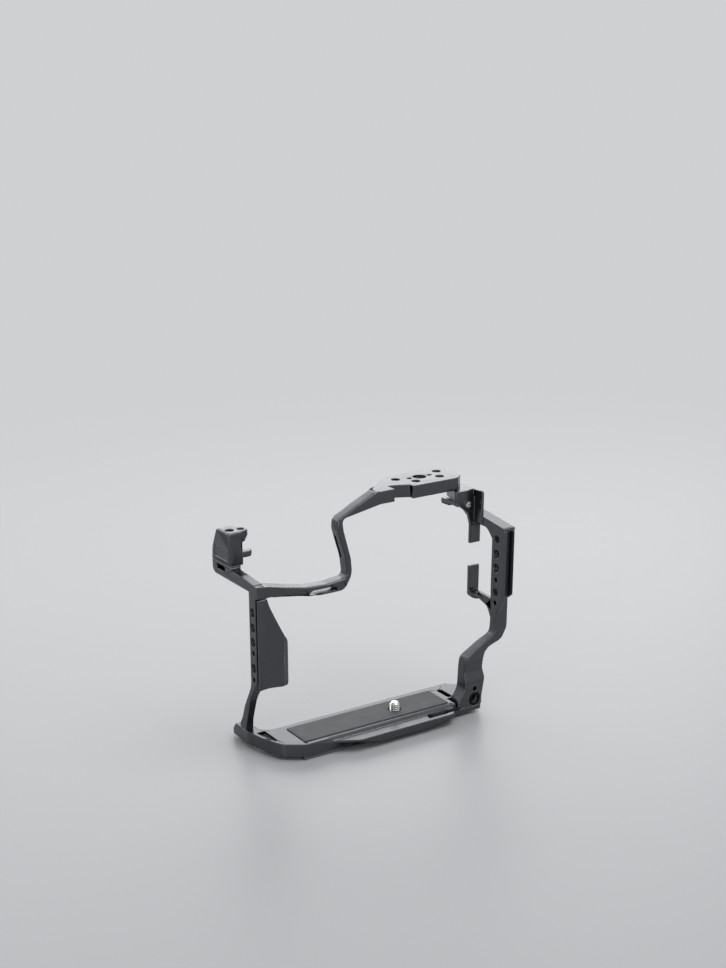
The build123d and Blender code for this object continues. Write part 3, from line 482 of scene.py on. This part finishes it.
# the rail's anodised metal is coloured almost black, far darker than the frame, and paler where an edge is
# rubbed
almost_black_rail_metal = blasted_metal("almost_black_anodised_6061", "2b2c2e", "6e6f72", 0.28)
fit(broken_edges("side_rail", 0.35), "v_edged_rail", almost_black_rail_metal, "frame", "anodised_rail", "side_rail")
fit(broken_edges("socket_insert", 0.3), "pressed_socket", black_oxide, "frame", "black_steel",
    "socket_insert")


# ------------------------------------------------------------------ threads and screws
# Every tapped hole shows its thread as a fine helical ridge, 20 turns to the inch in the small
# holes and 16 in the large one. The cap screws are rolled steel with hex sockets, black oxide.
def group_inputs(tree, **kinds):
    """Gives a geometry tree its geometry output and one named input for each size."""
    tree.interface.new_socket("Geometry", in_out="OUTPUT", socket_type="NodeSocketGeometry")
    for name, kind in kinds.items():
        tree.interface.new_socket(name, in_out="INPUT", socket_type="NodeSocket" + kind)


def grow(name, tree, values):
    """Runs a geometry tree with these input values and gives its result as a plain mesh."""
    maker, modifier = maker_of(name, bpy.data.meshes.new(name), "NODES")
    modifier.node_group = tree
    for item in tree.interface.items_tree:
        if item.item_type == "SOCKET" and item.in_out == "INPUT" and item.name in values:
            modifier[item.identifier] = values[item.name]
    return finished(maker)


def thread_tree():
    """One thread ridge on a helix, copied to every hole: its inputs are sizes in metres."""
    tree = bpy.data.node_groups.new("thread_ridge", "GeometryNodeTree")
    group_inputs(tree, Places="Object", Radius="Float", Pitch="Float", Turns="Float", Height="Float",
                 Metal="Material")
    given = add_node(tree, "NodeGroupInput").outputs
    length = add_node(tree, "ShaderNodeMath", {"operation": "MULTIPLY"},
                      {0: given["Pitch"], 1: given["Turns"]}).outputs[0]
    helix = add_node(tree, "GeometryNodeCurveSpiral", None,
                     {"Resolution": 28, "Rotations": given["Turns"], "Start Radius": given["Radius"],
                      "End Radius": given["Radius"], "Height": length})
    ridge = add_node(tree, "GeometryNodeCurvePrimitiveCircle", {"mode": "RADIUS"},
                     {"Resolution": 4, "Radius": given["Height"]})
    swept = add_node(tree, "GeometryNodeCurveToMesh", None,
                     {"Curve": helix.outputs[0], "Profile Curve": ridge.outputs[0], "Fill Caps": True})
    holes = add_node(tree, "GeometryNodeObjectInfo", None, {"Object": given["Places"]})
    axis = add_node(tree, "GeometryNodeInputNamedAttribute", {"data_type": "FLOAT_VECTOR"}, {"Name": "axis"})
    aim = add_node(tree, "FunctionNodeAlignRotationToVector", {"axis": "Z"},
                   {"Vector": axis.outputs["Attribute"]})
    copies = add_node(tree, "GeometryNodeInstanceOnPoints", None,
                      {"Points": holes.outputs["Geometry"], "Instance": swept.outputs[0],
                       "Rotation": aim.outputs[0]})
    real = add_node(tree, "GeometryNodeRealizeInstances", None, {"Geometry": copies.outputs[0]})
    done = add_node(tree, "GeometryNodeSetMaterial", None,
                    {"Geometry": real.outputs[0], "Material": given["Metal"]})
    add_node(tree, "NodeGroupOutput", None, {"Geometry": done.outputs[0]})
    return tree


def spots(name, places):
    """Points where a tree puts its copies, each with the direction that a copy's axis takes."""
    mesh = bpy.data.meshes.new(name)
    mesh.from_pydata([Vector(point) for point, _ in places], [], [])
    axis = mesh.attributes.new("axis", "FLOAT_VECTOR", "POINT")
    for index, (_, direction) in enumerate(places):
        axis.data[index].vector = direction
    return bpy.data.objects.new(name, mesh)


ridges = thread_tree()
small_hole, large_hole = 2.75, 4.2         # millimetres
small_pitch, large_pitch = 25.4 / 20, 25.4 / 16
run_in, run_out, ridge_sink = 0.3, 0.7, 0.1
ridge_height = 0.36 * mm
ridge_angle = 50         # degrees


def tapped_holes(radius, pitch):
    """Ridges in all the tapped holes of one size, from the mounts that the frame states."""
    holes = []
    for mount in frame["record"]["mounts"]:
        if mount["kind"] != "threaded_hole" or abs(mount["dims"]["r_mm"] - radius) > 0.01:
            continue
        length = mount["dims"]["length_mm"]
        axis = Vector(mount["axis"])
        holes.append((length, Vector(mount["pos_m"]) - axis * (length / 2 - run_in) * mm, axis))
    meshes = []
    for length in sorted({hole[0] for hole in holes}):
        places = spots("hole_starts", [(start, axis) for own, start, axis in holes if own == length])
        meshes.append(grow("hole_thread", ridges, {
            "Places": places, "Radius": (radius + ridge_sink) * mm, "Pitch": pitch * mm,
            "Turns": (length - run_out) / pitch, "Height": ridge_height, "Metal": anodised}))
        bpy.data.objects.remove(places)
    return meshes


# the post's two tapped holes, which no mount names
post_inner, post_wall, post_line = 65.5 * mm, 3.0 * mm, -13.6 * mm
post_heights = (92.8 * mm, 83.7 * mm)
post_radius, post_run_out = 2.85 * mm, 0.5 * mm
post_threads = spots("post_starts", [((post_inner + run_in * mm, post_line, height), (1, 0, 0))
                                     for height in post_heights])
post_ridges = grow("post_thread", ridges, {
    "Places": post_threads, "Radius": post_radius, "Pitch": thread_pitch,
    "Turns": (post_wall - post_run_out) / thread_pitch, "Height": ridge_height, "Metal": anodised})
bpy.data.objects.remove(post_threads)
hole_threads = tapped_holes(small_hole, small_pitch) + tapped_holes(large_hole, large_pitch) + [post_ridges]
fit(smooth(joined("hole_threads", hole_threads), ridge_angle), "tapped_threads", anodised, "frame",
    "anodised_frame")
for group in ("column_screws", "grip_shell_screws", "lug_block_screws", "foot_screws", "crown_screws",
              "side_rail_screws"):
    fit(broken_edges(group, 0.15), group + "_rolled", black_oxide, "frame", "black_steel", group)


# ------------------------------------------------------------------ studio
# Pale painted floor that fades into a plain wall. A wide soft box stands behind the cage, one hangs
# overhead, and a small one stands at the front left.
floor_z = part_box("base_plate")[0].z
fade_start, fade_end, floor_radius = 0.25, 1.1, 40
wall_colour = linear("cfd0d2")
paper, tree = new_material("pale_painted_floor")
place = add_node(tree, "ShaderNodeTexCoord").outputs["Object"]
reach = add_node(tree, "ShaderNodeVectorMath", {"operation": "LENGTH"}, {0: place})
far = add_node(tree, "ShaderNodeMapRange", {"interpolation_type": "SMOOTHSTEP"},
               {"Value": reach.outputs["Value"], "From Min": fade_start, "From Max": fade_end})
paint = add_node(tree, "ShaderNodeBsdfPrincipled", None,
                 {"Base Color": linear("b9babc"), "Roughness": 0.4})
distance = add_node(tree, "ShaderNodeEmission", None, {"Color": wall_colour})
blend = add_node(tree, "ShaderNodeMixShader", None,
                 {0: far.outputs[0], 1: paint.outputs[0], 2: distance.outputs[0]})
add_node(tree, "ShaderNodeOutputMaterial", None, {"Surface": blend.outputs[0]})
disc = bmesh.new()
bmesh.ops.create_circle(disc, cap_ends=True, segments=96, radius=floor_radius)
bmesh.ops.translate(disc, verts=disc.verts, vec=(0, 0, floor_z))
floor_mesh = bpy.data.meshes.new("floor")
disc.to_mesh(floor_mesh)
floor_mesh.materials.append(paper)
floor = bpy.data.objects.new("floor", floor_mesh)
scene.collection.objects.link(floor)


lit_spot = (0, 0, 0.05)


def softbox(name, place, size, watts):
    """A soft box aimed at the cage, which the camera itself doesn't see."""
    lamp = bpy.data.lights.new(name, "AREA")
    lamp.shape = "RECTANGLE"
    lamp.size, lamp.size_y = size
    lamp.energy = watts
    piece = bpy.data.objects.new(name, lamp)
    piece.location = place
    piece.rotation_euler = (Vector(lit_spot) - Vector(place)).to_track_quat("-Z", "Y").to_euler()
    piece.visible_camera = False
    scene.collection.objects.link(piece)


softbox("back_softbox", (0.3, 1.2, 0.62), (2.4, 0.8), 11)
softbox("overhead_softbox", (0.4, -0.3, 1.3), (1.2, 0.8), 10)
softbox("left_softbox", (-1.05, -0.7, 0.25), (0.3, 0.5), 2)

world = bpy.data.worlds.new("room")
world.use_nodes = True
tree = world.node_tree
tree.nodes.clear()
ray = add_node(tree, "ShaderNodeLightPath").outputs
seen = add_node(tree, "ShaderNodeMath", {"operation": "MAXIMUM"},
                {0: ray["Is Camera Ray"], 1: ray["Is Glossy Ray"]})
seen_through = add_node(tree, "ShaderNodeMath", {"operation": "MAXIMUM"},
                        {0: seen.outputs[0], 1: ray["Is Transmission Ray"]})
room = add_node(tree, "ShaderNodeBackground", None, {"Color": linear("9c9d9f")})
wall = add_node(tree, "ShaderNodeBackground", None, {"Color": wall_colour})
pick = add_node(tree, "ShaderNodeMixShader", None,
                {0: seen_through.outputs[0], 1: room.outputs[0], 2: wall.outputs[0]})
add_node(tree, "ShaderNodeOutputWorld", None, {"Surface": pick.outputs[0]})
scene.world = world


# ------------------------------------------------------------------ camera
# A long lens at the front of the grip side, looking a little down on the cage. It is shifted so
# that the cage stands low in the frame, with plain wall above it.
camera_place = Vector((-0.4963, -0.7228, 0.3935))
camera_target = Vector((-0.00046, 0.03494, 0.0513))
camera_data = bpy.data.cameras.new("camera")
camera_data.lens = 57.57
camera_data.shift_y = 0.1353
camera = bpy.data.objects.new("camera", camera_data)
camera.location = camera_place
camera.rotation_euler = (camera_target - camera_place).to_track_quat("-Z", "Y").to_euler()
scene.collection.objects.link(camera)
scene.camera = camera
scene.view_settings.view_transform = "Standard"
